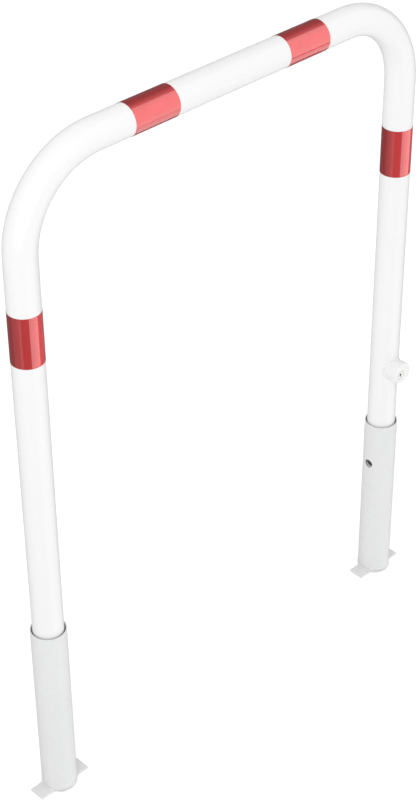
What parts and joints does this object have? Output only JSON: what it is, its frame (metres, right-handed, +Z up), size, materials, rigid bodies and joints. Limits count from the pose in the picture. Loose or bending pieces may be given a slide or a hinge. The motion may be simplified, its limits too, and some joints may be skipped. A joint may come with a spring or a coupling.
{
  "type": "path barrier",
  "caption": "Removable hoop barrier for a footpath: a bent white tube with red reflective bands, set in ground sleeves and held by a key-operated bolt.",
  "frame": {"origin": "midway between the two legs, level with the underside of the ground sleeves' anchor bars; the ground line is 405 mm above it", "axes": "+Z up along the legs, +X along the barrier towards the leg with the lock, -Y the side that the lock faces"},
  "size_m": [1.06, 0.088, 1.4054],
  "materials": {
    "white_powder_coat": "glossy white powder coat over galvanised steel",
    "red_reflective_film": "glossy red reflective film",
    "galvanised_steel": "hot-dip galvanised, light and matt",
    "lock_steel": "bare stainless steel, turned",
    "zinc_plated_steel": "zinc-plated"
  },
  "bodies": {
    "ground_sleeves": {"sleeve_left": "galvanised_steel", "sleeve_right": "galvanised_steel", "anchor_left": "galvanised_steel", "anchor_right": "galvanised_steel"},
    "hoop": {"hoop_tube": "white_powder_coat", "band_rail_left": "red_reflective_film", "band_rail_right": "red_reflective_film", "band_leg_left": "red_reflective_film", "band_leg_right": "red_reflective_film", "lock_housing": "white_powder_coat", "lever_pivot_pin": "white_powder_coat", "pivot_spacer_front": "zinc_plated_steel", "pivot_spacer_rear": "zinc_plated_steel", "bolt_guide": "zinc_plated_steel"},
    "plug": {"lock_plug": "lock_steel", "lock_cam": "zinc_plated_steel", "cam_pin": "zinc_plated_steel", "cam_washer": "zinc_plated_steel", "cam_screw": "zinc_plated_steel"},
    "lever": {"locking_lever": "zinc_plated_steel"},
    "bolt": {"locking_bolt": "zinc_plated_steel", "bolt_cross_pin": "zinc_plated_steel"}
  },
  "joints": [
    {"name": "hoop_lift", "type": "slide", "parent": "ground_sleeves", "child": "hoop", "axis": [0, 0, 1], "range_m": [0, 0.42]},
    {"name": "plug_turn", "type": "hinge", "parent": "hoop", "child": "plug", "pos_m": [0.462, 0, 0.55], "axis": [0, 1, 0], "range_deg": [0, 90]},
    {"name": "lever_swing", "type": "hinge", "parent": "hoop", "child": "lever", "pos_m": [0.467, 0, 0.43], "axis": [0, 1, 0], "range_deg": [0, 5.15]},
    {"name": "bolt_slide", "type": "slide", "parent": "hoop", "child": "bolt", "axis": [-1, 0, 0], "range_m": [0, 0.01144]}
  ],
  "couplings": [
    {"joint": "lever_swing", "follows": "plug_turn", "ratio": 0.05719},
    {"joint": "bolt_slide", "follows": "plug_turn", "m_per_rad": 0.0072796}
  ]
}
